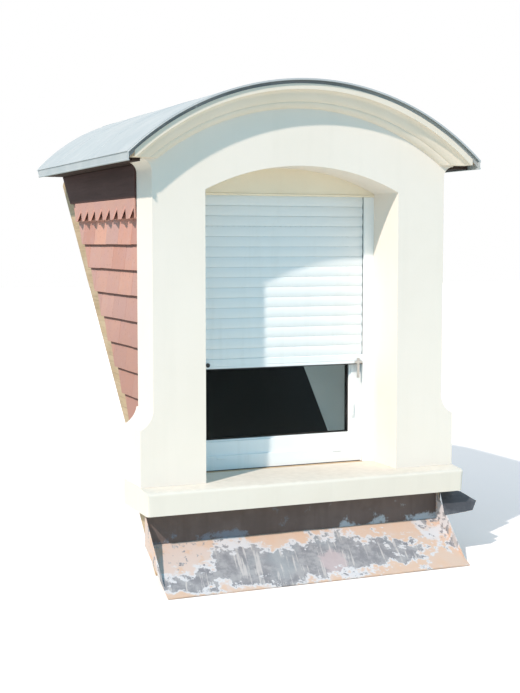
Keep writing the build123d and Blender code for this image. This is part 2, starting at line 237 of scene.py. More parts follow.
def turned(name, section, half_angle, steps):
    """Ring about the barrel roof's axis, spun from a section of (depth, radius) points."""
    piece = drawn(name, [at(-r * sin(half_angle), y, roof_centre + r * cos(half_angle)) for y, r in section])
    open_whole(piece)
    bpy.ops.mesh.spin(steps=steps, angle=-2 * half_angle, center=at(0, 0, roof_centre), axis=(0, 1, 0))
    bpy.ops.mesh.select_all(action="SELECT")
    bpy.ops.mesh.normals_make_consistent(inside=False)
    return close(piece)


def trim(piece, point, outward):
    """Cuts the piece at a plane, drops what lies outward and closes the cut."""
    open_whole(piece)
    bpy.ops.mesh.bisect(plane_co=point, plane_no=outward, use_fill=True, clear_outer=True)
    return close(piece)


def trim_sides(piece, half_width):
    """Cuts the piece off upright at the same distance left and right of the middle."""
    for side in (-1, 1):
        trim(piece, at(side * half_width, 0, 0), (side, 0, 0))
    return piece


def above_slope(piece):
    """Keeps what stands above the main roof's tiles."""
    return trim(piece, at(0, 0, slope_height(0)), (0, sin(pitch), -cos(pitch)))


def carve(piece, tool, operation="DIFFERENCE"):
    """Cuts one piece with another, which is used up."""
    modified(piece, "BOOLEAN", operation=operation, object=tool)
    bpy.data.objects.remove(tool)
    return piece


def smooth(piece, angle=30):
    only(piece)
    bpy.ops.object.shade_smooth_by_angle(angle=radians(angle))
    return piece


def round_edges(piece, width, segments=2, angle=35):
    """Rounds every arris sharper than an angle and shades the piece smooth between them."""
    modified(piece, "BEVEL", width=width, segments=segments, limit_method="ANGLE", angle_limit=radians(angle),
             use_clamp_overlap=True)
    return smooth(piece, angle)


def copied(piece):
    """Copy with its own mesh."""
    twin = piece.copy()
    twin.data = piece.data.copy()
    bpy.context.scene.collection.objects.link(twin)
    return twin


def joined(name, pieces):
    """Several pieces made one, with their places in the mesh."""
    bpy.ops.object.select_all(action="DESELECT")
    for piece in pieces:
        piece.select_set(True)
    bpy.context.view_layer.objects.active = pieces[0]
    bpy.ops.object.transform_apply(location=True, rotation=True, scale=True)
    if len(pieces) > 1:
        bpy.ops.object.join()
    whole = bpy.context.object
    whole.name = name
    return whole


def from_node(name, node, width=0.002, segments=2):
    """Copy of a CAD node with its loose triangles merged and its arrises eased."""
    piece = copied(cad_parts[node])
    piece.parent = None
    for key in list(piece.keys()):
        del piece[key]
    piece.name = name
    open_whole(piece)
    bpy.ops.mesh.remove_doubles(threshold=0.00002)
    bpy.ops.mesh.dissolve_limited(angle_limit=radians(1))
    close(piece)
    return round_edges(piece, width, segments)


def resized(piece, about, factors):
    """Stretches or shrinks a whole piece about a point."""
    open_whole(piece)
    bpy.ops.transform.resize(value=factors, center_override=about)
    return close(piece)


def arc_through(first, middle, last, steps):
    """Points of the arc through three points, both ends included."""
    (ax, ay), (bx, by), (cx, cy) = first, middle, last
    d = 2 * (ax * (by - cy) + bx * (cy - ay) + cx * (ay - by))
    a2, b2, c2 = ax ** 2 + ay ** 2, bx ** 2 + by ** 2, cx ** 2 + cy ** 2
    ux = (a2 * (by - cy) + b2 * (cy - ay) + c2 * (ay - by)) / d
    uy = (a2 * (cx - bx) + b2 * (ax - cx) + c2 * (bx - ax)) / d
    radius = hypot(ax - ux, ay - uy)
    start = atan2(ay - uy, ax - ux)
    through = (atan2(by - uy, bx - ux) - start) % (2 * pi)
    sweep = (atan2(cy - uy, cx - ux) - start) % (2 * pi)
    if through > sweep:
        sweep -= 2 * pi
    angles = [start + sweep * i / steps for i in range(steps + 1)]
    return [(ux + radius * cos(a), uy + radius * sin(a)) for a in angles]


def crown_arc(radius, half_angle, steps):
    """Points of an arc about the roof's axis, from left to right."""
    x, z = radius * sin(half_angle), roof_centre + radius * cos(half_angle)
    return arc_through((-x, z), (0, roof_centre + radius), (x, z), steps)


def mirror_here(piece):
    """Turns a piece over to the other side of the dormer's middle."""
    only(piece)
    piece.scale = (-1, 1, 1)
    bpy.ops.object.transform_apply(location=True, rotation=True, scale=True)
    open_whole(piece)
    bpy.ops.mesh.normals_make_consistent(inside=False)
    return close(piece)


def sliced(piece, axis, count):
    """Divides the piece's faces by planes at even steps along an axis."""
    index = "XYZ".index(axis)
    places = [v.co[index] for v in piece.data.vertices]
    start, end = min(places), max(places)
    open_whole(piece)
    for i in range(1, count):
        point, normal = Vector(), Vector()
        point[index] = start + (end - start) * i / count
        normal[index] = 1.0
        bpy.ops.mesh.select_all(action="SELECT")
        bpy.ops.mesh.bisect(plane_co=point, plane_no=normal)
    return close(piece)


def uneven(piece, depth, size, direction):
    """Gives a sheet or tile soft waves of a given depth and size along one axis."""
    clouds = bpy.data.textures.new("waves", "CLOUDS")
    clouds.noise_scale = size
    clouds.noise_depth = 2
    return modified(piece, "DISPLACE", texture=clouds, texture_coords="LOCAL", direction=direction, strength=depth,
                    mid_level=0.5)


def toned(piece, value):
    """Stores one tone for all of a piece's points."""
    tone = piece.data.attributes.get("tone") or piece.data.attributes.new("tone", "FLOAT", "POINT")
    tone.data.foreach_set("value", [value] * len(tone.data))
    return piece


def hand_over(piece, material, slot, *nodes):
    """Gives a finished piece its shading and material, and lets it stand for its CAD nodes; the slot is not used."""
    modified(piece, "WEIGHTED_NORMAL", keep_sharp=True)
    piece.data.materials.clear()
    piece.data.materials.append(material)
    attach(piece, "root")
    if nodes:
        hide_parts(*nodes)


# Shader building

class Signal:
    """Output of a shader node, reckoned with like a number; | takes the higher of two."""

    def __init__(self, tree, socket):
        self.tree = tree
        self.socket = socket

    def maths(self, operation, other=0.0, clamp=False):
        return signal(self.tree, "Math", 0, {0: self, 1: other}, operation=operation, use_clamp=clamp)

    def __add__(self, other):
        return self.maths("ADD", other)

    def __sub__(self, other):
        return self.maths("SUBTRACT", other)

    def __mul__(self, other):
        return self.maths("MULTIPLY", other)

    def __pow__(self, other):
        return self.maths("POWER", other)

    def __or__(self, other):
        return self.maths("MAXIMUM", other)

    def __abs__(self):
        return self.maths("ABSOLUTE")

    def ranged(self, low_in, high_in, low_out=0.0, high_out=1.0, kind="SMOOTHSTEP"):
        """Brought from one range to another, softly unless the kind is LINEAR."""
        inputs = {"Value": self, "From Min": low_in, "From Max": high_in, "To Min": low_out, "To Max": high_out}
        return signal(self.tree, "MapRange", "Result", inputs, interpolation_type=kind)

    def curved(self, points):
        """Read from a smooth curve through a few points, both between 0 and 1."""
        read = signal(self.tree, "FloatCurve", 0, {"Value": self})
        mapping = read.socket.node.mapping
        line = mapping.curves[0].points
        line[0].location, line[-1].location = points[0], points[-1]
        for point in points[1:-1]:
            line.new(*point)
        mapping.update()
        return read

    def noise(self, scale, detail=4.0, roughness=0.55):
        """Noise at the places that this signal gives."""
        inputs = {"Vector": self, "Scale": scale, "Detail": detail, "Roughness": roughness}
        return signal(self.tree, "TexNoise", "Fac", inputs)

    def mapped(self, change, value):
        """Places turned or stretched."""
        return signal(self.tree, "Mapping", "Vector", {"Vector": self, change: value})

    def axis(self, letter):
        return signal(self.tree, "SeparateXYZ", letter, {0: self})


def feed(socket, value):
    """Gives a socket a signal, a colour or another value."""
    if isinstance(value, Signal):
        value.tree.links.new(value.socket, socket)
    else:
        socket.default_value = (*value, 1.0) if socket.type == "RGBA" else value


def signal(tree, kind, output, inputs=None, **settings):
    """Output of a new shader node."""
    node = tree.nodes.new("ShaderNode" + kind)
    for key, value in settings.items():
        setattr(node, key, value)
    for key, value in (inputs or {}).items():
        feed(node.inputs[key], value)
    return Signal(tree, node.outputs[output])


def blended(factor, first, second):
    first_colour, second_colour = 6, 7         # sockets of the mix node that take colours
    inputs = {0: factor, first_colour: first, second_colour: second}
    return signal(factor.tree, "Mix", 2, inputs, data_type="RGBA")


def node_group(name, values, outputs):
    """Empty group that takes places and named values and puts out masks."""
    tree = bpy.data.node_groups.new(name, "ShaderNodeTree")
    tree.interface.new_socket("Vector", in_out="INPUT", socket_type="NodeSocketVector")
    for label, value in values.items():
        tree.interface.new_socket(label, in_out="INPUT", socket_type="NodeSocketFloat").default_value = value
    for label in outputs:
        tree.interface.new_socket(label, in_out="OUTPUT", socket_type="NodeSocketFloat")
    given = {socket.name: Signal(tree, socket) for socket in tree.nodes.new("NodeGroupInput").outputs}
    return tree, given, tree.nodes.new("NodeGroupOutput").inputs


def weather_group():
    """Soft blotches, rain streaks and grime that settles on upward faces."""
    values = {"Blotch Scale": 3.0, "Streak Scale": 14.0}
    tree, given, out = node_group("weather", values, ("Blotches", "Streaks", "Dust"))
    place = given["Vector"]
    feed(out["Blotches"], place.noise(given["Blotch Scale"], 6.0, 0.6).ranged(0.38, 0.68))
    streak = place.mapped("Scale", (1.0, 1.0, 0.07)).noise(given["Streak Scale"], 5.0, 0.6)
    feed(out["Streaks"], streak.ranged(0.50, 0.78))
    upward = signal(tree, "NewGeometry", "Normal").axis("Z")
    feed(out["Dust"], upward.ranged(0.3, 0.95) * place.noise(30.0))
    return tree


def grain_group():
    """Wood grain along X: fibres and growth bands."""
    tree, given, out = node_group("wood_grain", {}, ("Fibres", "Bands"))
    place = given["Vector"]
    feed(out["Fibres"], place.mapped("Scale", (6.0, 150.0, 150.0)).noise(1.0, 4.0, 0.65))
    feed(out["Bands"], place.mapped("Scale", (1.2, 16.0, 16.0)).noise(1.0, 3.0, 0.5))
    return tree


weather = weather_group()
wood_grain = grain_group()


def grouped(group, place, **values):
    """Masks that a group puts out at the places given."""
    inputs = {"Vector": place, **{key.replace("_", " ").title(): value for key, value in values.items()}}
    node = signal(place.tree, "Group", 0, inputs, node_tree=group).socket.node
    return {socket.name: Signal(place.tree, socket) for socket in node.outputs}


class Finish:
    """Material being made, with its shader's inputs and its object coordinates."""

    def __init__(self, name, roughness=0.6, **constants):
        self.material = bpy.data.materials.new(name)
        self.material.use_nodes = True
        tree = self.material.node_tree
        self.inputs = tree.nodes["Principled BSDF"].inputs
        self.inputs["Roughness"].default_value = roughness
        for key, value in constants.items():
            self.inputs[key.replace("_", " ").title().replace("Ior", "IOR")].default_value = value
        self.place = signal(tree, "TexCoord", "Object")

    def weathered(self, blotch_scale, streak_scale):
        return grouped(weather, self.place, blotch_scale=blotch_scale, streak_scale=streak_scale)

    def shine(self, roughness):
        feed(self.inputs["Roughness"], roughness)

    def made(self, colour, height=None, strength=0.0, distance=0.0):
        """The material with its colour and, where a height is given, its relief."""
        feed(self.inputs["Base Color"], colour)
        if height:
            relief = {"Height": height, "Strength": strength, "Distance": distance}
            feed(self.inputs["Normal"], signal(height.tree, "Bump", "Normal", relief))
        return self.material


# Materials

def cream_render(name, base, shade, stain, dust=0.30):
    """Smooth painted render with faint trowel marks and light weathering."""
    finish = Finish(name, 0.82)
    place, wear = finish.place, finish.weathered(2.4, 16.0)
    colour = blended(wear["Blotches"], base, shade)
    colour = blended(wear["Streaks"] * 0.10, colour, stain)
    colour = blended(wear["Dust"] * dust, colour, stain)
    colour = blended(place.noise(210.0, 2.0).ranged(0.66, 0.74, 0.0, 0.25), colour, stain)
    trowel, sand = place.noise(9.0, 3.0, 0.45), place.noise(520.0, 3.0, 0.7)
    return finish.made(colour, trowel + sand * 0.12, 0.35, 0.003)


def painted_zinc(name, base, shade, roughness=0.42, painted_sunlight=None):
    """Pre-weathered sheet with cloudy patina, faint run marks and shallow waves; it may be made lighter to the right as
    painted sunlight.
    """
    finish = Finish(name, roughness, metallic=0.25)
    place, wear = finish.place, finish.weathered(4.5, 22.0)
    colour = blended(wear["Blotches"], base, shade)
    colour = blended(wear["Streaks"] * 0.35, colour, (0.42, 0.45, 0.47))
    colour = blended(place.noise(75.0, 2.0).ranged(0.68, 0.76, 0.0, 0.5), colour, (0.78, 0.80, 0.80))
    # Painted sunlight: towards the right the sheet fades to a lighter colour, if one is given.
    if painted_sunlight:
        colour = blended(place.axis("X").ranged(0.0, 0.5), colour, painted_sunlight)
    finish.shine(place.noise(7.0, 5.0).ranged(0.3, 0.7, roughness - 0.08, roughness + 0.16))
    return finish.made(colour, place.noise(3.2, 2.0, 0.4), 0.35, 0.012)


def fired_clay(name):
    """Flat clay tiles: each tile's own tone, sand texture, grey lichen film, darker towards the bottom, and painted
    shadow under the laps.
    """
    finish = Finish(name, 0.86)
    place, wear = finish.place, finish.weathered(11.0, 30.0)
    tone = signal(place.tree, "Attribute", "Fac", attribute_name="tone")
    tones = signal(place.tree, "ValToRGB", "Color", {"Fac": tone})
    stops = tones.socket.node.color_ramp.elements
    stops[0].color = (0.50, 0.25, 0.195, 1)
    stops[1].color = (0.60, 0.355, 0.295, 1)
    for position, colour in ((0.3, (0.60, 0.30, 0.22)), (0.55, (0.53, 0.31, 0.26)), (0.8, (0.66, 0.335, 0.235))):
        stops.new(position).color = (*colour, 1)
    colour = blended(wear["Blotches"] * 0.45, tones, (0.52, 0.30, 0.275))
    colour = blended(place.noise(26.0, 6.0, 0.7).ranged(0.54, 0.72, 0.0, 0.45), colour, (0.56, 0.39, 0.345))
    colour = blended(place.noise(90.0, 3.0).ranged(0.60, 0.72, 0.0, 0.5), colour, (0.25, 0.13, 0.11))
    # Darker towards the bottom.
    level = place.axis("Z") - sill_top
    colour = blended(level.ranged(0.92, 0.28, 0.0, 0.70), colour, (0.36, 0.19, 0.15))
    # Painted shadow: a dark band just below the foot of each course, where the course above throws its shade.
    courses_down = (level - strip_foot) * (-1 / course_gauge)
    painted_lap_shadow = courses_down.maths("FRACT").ranged(0.13, 0.08, 0.0, 0.75)
    below_first = courses_down.maths("GREATER_THAN", 0.5)
    colour = blended(painted_lap_shadow * below_first, colour, (0.17, 0.070, 0.052))
    sand, drag = place.noise(380.0, 4.0, 0.7), place.mapped("Scale", (40.0, 40.0, 8.0)).noise(1.0, 3.0)
    return finish.made(colour, sand + drag, 0.5, 0.0014)


def stained_wood(name, base, shade, roughness=0.62, along="X", specular=0.5):
    """Timber with its grain along one axis."""
    finish = Finish(name, roughness, specular_ior_level=specular)
    turn = {"X": (0, 0, 0), "Y": (0, 0, -pi / 2), "Z": (0, pi / 2, 0)}[along]
    grain = grouped(wood_grain, finish.place.mapped("Rotation", turn))
    darker = tuple(0.55 * c for c in shade)
    colour = blended(grain["Bands"].ranged(0.35, 0.65), base, shade)
    colour = blended(grain["Fibres"].ranged(0.48, 0.75, 0.0, 0.7), colour, darker)
    colour = blended(finish.weathered(6.0, 20.0)["Blotches"] * 0.25, colour, darker)
    return finish.made(colour, grain["Fibres"], 0.4, 0.001)


def white_plastic(name, base, roughness=0.34, grime=0.25):
    """Window profile plastic with a slight film of dirt and fine extrusion lines."""
    finish = Finish(name, roughness)
    place, wear = finish.place, finish.weathered(5.0, 30.0)
    dirt = (wear["Streaks"] + wear["Dust"]).maths("MULTIPLY", grime, True)
    dirty = tuple(c * f for c, f in zip(base, (0.80, 0.79, 0.75)))
    finish.shine(place.noise(18.0, 4.0).ranged(0.3, 0.7, roughness - 0.05, roughness + 0.12))
    return finish.made(blended(dirt, base, dirty), place.noise(240.0, 2.0), 0.06, 0.001)


def lining_paint():
    finish = Finish("lining_paint", 0.8)
    place = finish.place
    colour = blended(place.noise(3.0).ranged(0.35, 0.7), (0.70, 0.71, 0.70), (0.64, 0.65, 0.64))
    return finish.made(colour, place.noise(320.0, 3.0), 0.2, 0.0008)


def peeling_apron():
    """Terracotta paint that peels off blue-grey metal in a band, chalky where it is worn thin."""
    finish = Finish("peeling_terracotta", 0.74)
    place = finish.place
    start, end = low("apron_flashing"), high("apron_flashing")
    across = place.axis("X").ranged(start.x, end.x, kind="LINEAR")
    down = place.axis("Y").ranged(front, front + start.y, kind="LINEAR")

    # Signed depth into the bare band, whose middle and half-height change along the sheet
    middle = across.curved([(0, 0.75), (0.12, 0.75), (0.20, 0.60), (0.30, 0.58), (0.40, 0.66), (0.50, 0.56),
                            (0.60, 0.50), (0.70, 0.58), (0.80, 0.56), (0.88, 0.60), (1, 0.60)])
    reach = across.curved([(0, 0.12), (0.12, 0.13), (0.18, 0.20), (0.24, 0.34), (0.32, 0.34), (0.40, 0.27),
                           (0.50, 0.32), (0.60, 0.35), (0.70, 0.24), (0.80, 0.18), (0.87, 0.06), (0.92, 0), (1, 0)])
    coarse = (place.noise(9.0, 9.0, 0.68) - 0.5) * 0.9
    fine = (place.noise(30.0, 4.0, 0.6) - 0.5) * across.ranged(0.60, 0.80, 0.6, 1.1)
    amount = reach - abs(down - middle) + (coarse + fine)
    rim = amount.ranged(-0.15, -0.05)

    # Places worn down to a chalky film: the left end, a patch along the top and the right corner
    left = across.ranged(0.24, 0.16) * down.ranged(0.98, 0.80)
    top = across.ranged(0.18, 0.22) * across.ranged(0.37, 0.31) * down.ranged(0.50, 0.30)
    corner = across.ranged(0.88, 0.92) * down.ranged(0.55, 0.35)
    worn = left | top | corner
    film = (place.noise(14.0, 6.0, 0.62) + worn * 0.17).ranged(0.57, 0.66)
    specks = place.noise(38.0, 4.0, 0.6) + worn * 0.06 + corner * 0.06
    bare = amount.ranged(-0.014, 0.014) | specks.ranged(0.66, 0.69) * worn

    # Brush strokes left on the metal, and a patch of thin primer in its middle
    strokes = place.mapped("Rotation", (0, 0, radians(12))).mapped("Scale", (85.0, 5.5, 5.5)).noise(1.0, 3.0, 0.6)
    strokes = (strokes + coarse * 0.5).ranged(0.56, 0.66)
    slant = across + down * 0.07
    patch = ((slant - 0.604) * 22.0) ** 2.0 + ((down - 0.70) * 3.8) ** 2.0
    patch = (patch + (fine * 5.0 + coarse * 6.0)).ranged(1.2, 0.3, 0.0, 0.75)

    paint = blended(place.noise(11.0, 5.0).ranged(0.35, 0.65), (0.635, 0.435, 0.32), (0.62, 0.455, 0.36))
    paint = blended(place.noise(60.0, 3.0).ranged(0.60, 0.72, 0.0, 0.3), paint, (0.55, 0.38, 0.30))
    chalk = blended(top | corner | rim, (0.62, 0.49, 0.43), (0.63, 0.60, 0.605))
    metal = blended(place.noise(22.0, 6.0, 0.68).ranged(0.38, 0.62), (0.23, 0.222, 0.237), (0.355, 0.34, 0.345))
    metal = blended(place.noise(4.0, 2.0).ranged(0.50, 0.60, 0.0, 0.6), metal, (0.325, 0.34, 0.355))
    metal = blended(strokes * 0.8, metal, (0.56, 0.51, 0.49))
    metal = blended(patch, metal, (0.53, 0.42, 0.42))
    colour = blended(bare, blended(rim | film, paint, chalk), metal)
    finish.shine(bare.ranged(0.0, 1.0, 0.80, 0.60))
    return finish.made(colour, place.noise(120.0, 3.0) * 0.4 - bare, 0.5, 0.0015)


def shaded_upstand_paint():
    """Dark brown on the upstand, standing for its paint in the sill's shade (painted shade), worn blue-grey along its
    foot.
    """
    finish = Finish("upstand_paint_with_painted_shade", 0.66)
    place, wear = finish.place, finish.weathered(7.0, 24.0)
    start, end = low("front_upstand"), high("front_upstand")
    foot = sill_top + start.z
    across = place.axis("X").ranged(start.x, end.x, kind="LINEAR")
    places = across.curved([(0, 0.25), (0.13, 0.25), (0.20, 0.95), (0.30, 0.90), (0.36, 0.20), (0.62, 0.10),
                            (0.67, 0.85), (0.72, 0.35), (0.78, 0.90), (0.85, 0.30), (0.92, 0.80), (1, 0.65)])
    near_foot = place.axis("Z").ranged(foot + 0.050, foot + 0.004) * places
    bare = (place.noise(16.0, 7.0, 0.7) + near_foot * 0.26).ranged(0.62, 0.74, 0.0, 0.85)
    tint = blended(across.ranged(0.45, 0.62), (0.175, 0.205, 0.26), (0.44, 0.50, 0.56))
    # Painted shade: the paint is darkened to a deep brown for the shade under the sill.
    colour = blended(wear["Blotches"], (0.106, 0.078, 0.070), (0.146, 0.108, 0.098))
    colour = blended(wear["Streaks"] * 0.4, colour, (0.075, 0.055, 0.048))
    return finish.made(blended(bare, colour, tint), place.noise(60.0) - bare, 0.4, 0.0015)


def lead_sheet():
    finish = Finish("lead_sheet", 0.55, metallic=0.3)
    colour = blended(finish.weathered(16.0, 30.0)["Blotches"], (0.060, 0.065, 0.078), (0.12, 0.13, 0.145))
    return finish.made(colour, finish.place.noise(28.0, 4.0, 0.6), 0.6, 0.005)


def dark_rubber(name, base, shade):
    finish = Finish(name, 0.7)
    return finish.made(blended(finish.place.noise(90.0), base, shade))


def bright_metal():
    finish = Finish("zinc_plated_steel", 0.38, metallic=0.9)
    return finish.made(blended(finish.place.noise(120.0), (0.50, 0.51, 0.52), (0.66, 0.66, 0.65)))


def window_glass():
    """Clear pane with a faint film of dust."""
    finish = Finish("pane_glass", 0.03, transmission_weight=1.0, ior=1.12)
    film = finish.place.noise(5.0, 5.0, 0.6).ranged(0.3, 0.7)
    return finish.made(blended(film, (0.80, 0.82, 0.82), (0.74, 0.77, 0.77)))


cream = cream_render("cream_render", (0.875, 0.79, 0.705), (0.855, 0.77, 0.68), (0.68, 0.62, 0.53))
# The cornice's paint is tanner and darker than the surround's: a little ageing, but mostly painted shade for its place
# under the eaves.
cornice_cream_painted_shade = cream_render("cornice_render_painted_shade", (0.855, 0.75, 0.635), (0.81, 0.705, 0.58), (0.56, 0.49, 0.38))
# The sill's upward faces are darkened more than the surround's.
sill_cream = cream_render("sill_render", (0.80, 0.735, 0.65), (0.77, 0.70, 0.61), (0.52, 0.475, 0.40), 0.65)
# The tympanum's paint is warmer and brighter than the surround's: painted warm bounce light in the recess under the
# arch.
tympanum_paint_painted_bounce = cream_render("tympanum_paint_painted_bounce", (0.94, 0.84, 0.67), (0.91, 0.80, 0.63), (0.72, 0.61, 0.45))
zinc = painted_zinc("weathered_zinc", (0.46, 0.50, 0.51), (0.52, 0.55, 0.55))
edge_zinc = painted_zinc("folded_zinc_edge", (0.50, 0.52, 0.53), (0.57, 0.59, 0.60), 0.40)
# Board cover: its dark zinc is painted shade under the drip, and it fades lighter towards the right as painted
# sunlight.
cover_zinc_painted_shade = painted_zinc("cover_zinc_painted_shade", (0.19, 0.205, 0.215), (0.24, 0.255, 0.265), 0.5, (0.44, 0.45, 0.44))
clay = fired_clay("fired_clay")
brown_wood = stained_wood("brown_stained_wood", (0.074, 0.040, 0.036), (0.105, 0.057, 0.051), 0.7, "Y", 0.15)
# The soffit's wood is made darker than the eaves board's, partly painted shade under the overhang.
shaded_soffit_wood = stained_wood("soffit_wood_partly_painted_shade", (0.05, 0.032, 0.027), (0.075, 0.048, 0.040), 0.7, "Y", 0.15)
boards = stained_wood("roof_boards", (0.50, 0.36, 0.22), (0.42, 0.29, 0.17), 0.7, "Y")
timber = stained_wood("sawn_timber", (0.56, 0.42, 0.27), (0.48, 0.34, 0.20), 0.7, "X")
timber_sloped = stained_wood("sawn_timber_side", (0.56, 0.42, 0.27), (0.48, 0.34, 0.20), 0.7, "Y")
sheathing = stained_wood("cheek_sheathing", (0.52, 0.39, 0.25), (0.44, 0.31, 0.19), 0.7, "Y")
timber_upright = stained_wood("sawn_timber_stud", (0.56, 0.42, 0.27), (0.48, 0.34, 0.20), 0.7, "Z")
plastic = white_plastic("white_profile", (0.92, 0.94, 0.94))
slat_white = white_plastic("white_slats", (0.83, 0.86, 0.87), 0.40, 0.2)
lining = lining_paint()
terracotta = peeling_apron()
upstand_paint_painted_shade = shaded_upstand_paint()
lead = lead_sheet()
rubber = dark_rubber("dark_rubber", (0.018, 0.018, 0.019), (0.045, 0.045, 0.047))
gap_shade_felt = dark_rubber("grey_felt_painted_gap_shade", (0.10, 0.12, 0.13), (0.17, 0.19, 0.20))
steel = bright_metal()
pane = window_glass()


# Stone surround

def surround():
    """Pilasters on flared plinths with the arched head, rendered in one coat."""
    flare = half_plinth - half_surround
    belly = (half_surround + 0.34 * flare, plinth_height + 0.4 * cavetto_height)
    hollow = arc_through((half_plinth, plinth_height), belly, (half_surround, flare_top), 8)
    reach = flare_end - half_surround
    lip = cornice_foot - flare_lip
    belly = (flare_end - reach * cos(pi / 4), lip - reach + reach * sin(pi / 4))
    eaves = arc_through((half_surround, lip - reach), belly, (flare_end, lip), 8)
    eaves += [(flare_end, cornice_foot), (half_surround, cornice_foot)]
    corner = roof_centre + sqrt(stone_radius ** 2 - half_surround ** 2)
    top = arc_through((half_surround, corner), (0, roof_centre + stone_radius), (-half_surround, corner), 56)
    arch = arc_through((-half_opening, spring), (0, spring + arch_rise), (half_opening, spring), 40)
    flank = hollow + eaves
    outline = [(half_opening, 0), (half_plinth, 0)] + flank + top
    outline += [(-x, z) for x, z in reversed(flank)] + [(-half_plinth, 0), (-half_opening, 0)] + arch
    piece = front_shape("rendered_surround", outline, 0, surround_depth)

    # Behind the exposed flank, room for the cheeks' tiles and, higher up, for the eaves
    beyond, back, lap = 0.9, surround_depth + 0.05, 0.001
    for side in (-1, 1):
        for inner, z0, z1 in ((tile_back, flare_top, soffit_height),
                              (half_surround, soffit_height - 0.01, cornice_foot + lap)):
            x0, x1 = sorted((side * inner, side * beyond))
            carve(piece, slab("rebate", x0, x1, exposed_side, back, z0, z1))
    hand_over(round_edges(piece, 0.004, 3, 40), cream, "stone", "right_jamb", "left_jamb", "arched_head")


def sill():
    """Weathered sill with a rounded nose, rounded ends and a drip groove."""
    length, drop, nose, end_radius = high("sill").x, 0.006, 0.012, 0.014
    groove_end, groove_setback, groove_width, groove_depth = 0.03, 0.022, 0.012, 0.008
    foot, face = low("sill").z, low("sill").y
    edge = arc_through((face, -drop - nose), (face + 0.3 * nose, -drop - 0.3 * nose), (face + nose, -drop), 5)
    outline = [(surround_depth, foot), (face, foot)] + edge + [(0, 0), (surround_depth, 0)]
    piece = side_shape("sill_stone", outline, -length, length)
    near = 0.001

    def front_corner(edge):
        ends = [v.co for v in edge.verts]
        outer = abs(ends[0].x) > length - near and all(end.y < front + face + near for end in ends)
        return outer and abs(ends[0].z - ends[1].z) > 0.05

    open_edges(piece, front_corner)
    bpy.ops.mesh.bevel(offset=end_radius, segments=5, affect="EDGES")
    close(piece)
    groove = face + groove_setback
    carve(piece, slab("groove", groove_end - length, length - groove_end, groove, groove + groove_width,
                      foot - 0.02, foot + groove_depth))
    hand_over(round_edges(piece, 0.003, 2, 40), sill_cream, "stone", "sill")


def cornice():
    """Crown moulding spun about the roof's axis: tall fillet, cove and two ovolos, with a quirk between them."""
    top, depth = stone_radius - 0.0002, 0.082
    reach, foot = -low("cornice").y, top - depth
    face, rim = -reach - lip_reach, top + lip_rise
    section = [(0.0, foot), (0.0, top), (-reach, top), (-reach, rim), (face, rim), (face, 1.0215)]
    section += arc_through((face + 0.0100, 1.0205), (-0.0530, 1.0172), (-0.0460, 1.0105), 5)
    section += arc_through((-0.0458, 1.0095), (-0.0388, 0.9943), (-0.0275, 0.9825), 8)
    section += [(-0.0235, 0.9812), (-0.0232, 0.9778)]
    section += arc_through((-0.0235, 0.9770), (-0.0162, 0.9660), (-0.0050, foot + 0.0015), 7)
    piece = trim_sides(turned("cornice_moulding", section, radians(47), 72), high("cornice").x)
    trim(piece, at(0, 0, cornice_foot), (0, 0, -1))
    hand_over(round_edges(piece, 0.0010, 2, 38), cornice_cream_painted_shade, "stone", "cornice")


# Barrel roof

def roof_ring(name, section, half_width=half_roof):
    """Section spun over the whole barrel and cut off upright at both eaves."""
    spare_angle = 0.02
    return trim_sides(turned(name, section, asin(half_roof / roof_radius) + spare_angle, 88), half_width)


def zinc_roof():
    """Sheets bent over the barrel, each lapping a little over the one behind."""
    step, thick, sheet_run, lap = 0.0014, 0.0022, 0.52, 0.0006
    start = 0.0010 - overhang
    section = []
    y = start
    while y < roof_end:
        end = min(y + sheet_run, roof_end)
        section += [(y, roof_radius), (end - lap, roof_radius - step)]
        y = end
    section += [(roof_end, roof_radius - thick), (start, roof_radius - thick)]
    piece = above_slope(roof_ring("zinc_roof_sheets", section))
    hand_over(smooth(piece), zinc, "zinc", "zinc_roof")


def front_drip():
    """Turned-down front edge with a small round bead along its foot."""
    face, foot = 0.0004 - overhang, roof_radius - 0.0068
    sheet, bead_height, bead_reach = 0.0012, 0.0034, 0.0008
    bead = arc_through((face, foot + bead_height), (face - bead_reach, foot + bead_height / 2), (face, foot), 7)
    section = [(face + sheet, foot), (face + sheet, roof_radius), (face, roof_radius)] + bead
    hand_over(smooth(roof_ring("zinc_front_drip", section)), edge_zinc, "zinc", "front_drip")


def board_cover():
    """Set-back sheet that closes the boards' front ends down to the cornice; its dark colour is painted shade, lighter
    to the right as painted sunlight.
    """
    face, back, foot, top = 0.0145 - overhang, 0.0158 - overhang, stone_radius - 0.0022, roof_radius - 0.003
    section = [(back, foot), (back, top), (face, top), (face, foot)]
    hand_over(smooth(roof_ring("zinc_board_cover", section, half_roof - 0.003)), cover_zinc_painted_shade, "zinc")


def roof_boards():
    """Boards laid front to back over the curve, with a fine gap between neighbours."""
    outer, inner = roof_radius - 0.0025, stone_radius + 0.0003
    count = 17
    spread = 2 * asin(half_roof / roof_radius) / count
    half_gap = 0.0009                          # as an angle
    half = spread / 2 - half_gap
    outline = crown_arc(outer, half, 3) + crown_arc(inner, half, 3)[::-1]
    board = round_edges(front_shape("board", outline, 0.016 - overhang, roof_end), 0.0012, 2, 40)
    axis = Matrix.Translation(at(0, 0, roof_centre))
    laid = []
    for i in range(count):
        twin = copied(board)
        twin.matrix_world = axis @ Matrix.Rotation((i - (count - 1) / 2) * spread, 4, "Y") @ axis.inverted()
        laid.append(twin)
    bpy.data.objects.remove(board)
    whole = above_slope(trim_sides(joined("roof_boards", laid), half_roof - 0.006))
    hand_over(smooth(whole), boards, "boarding", "roof_boarding")


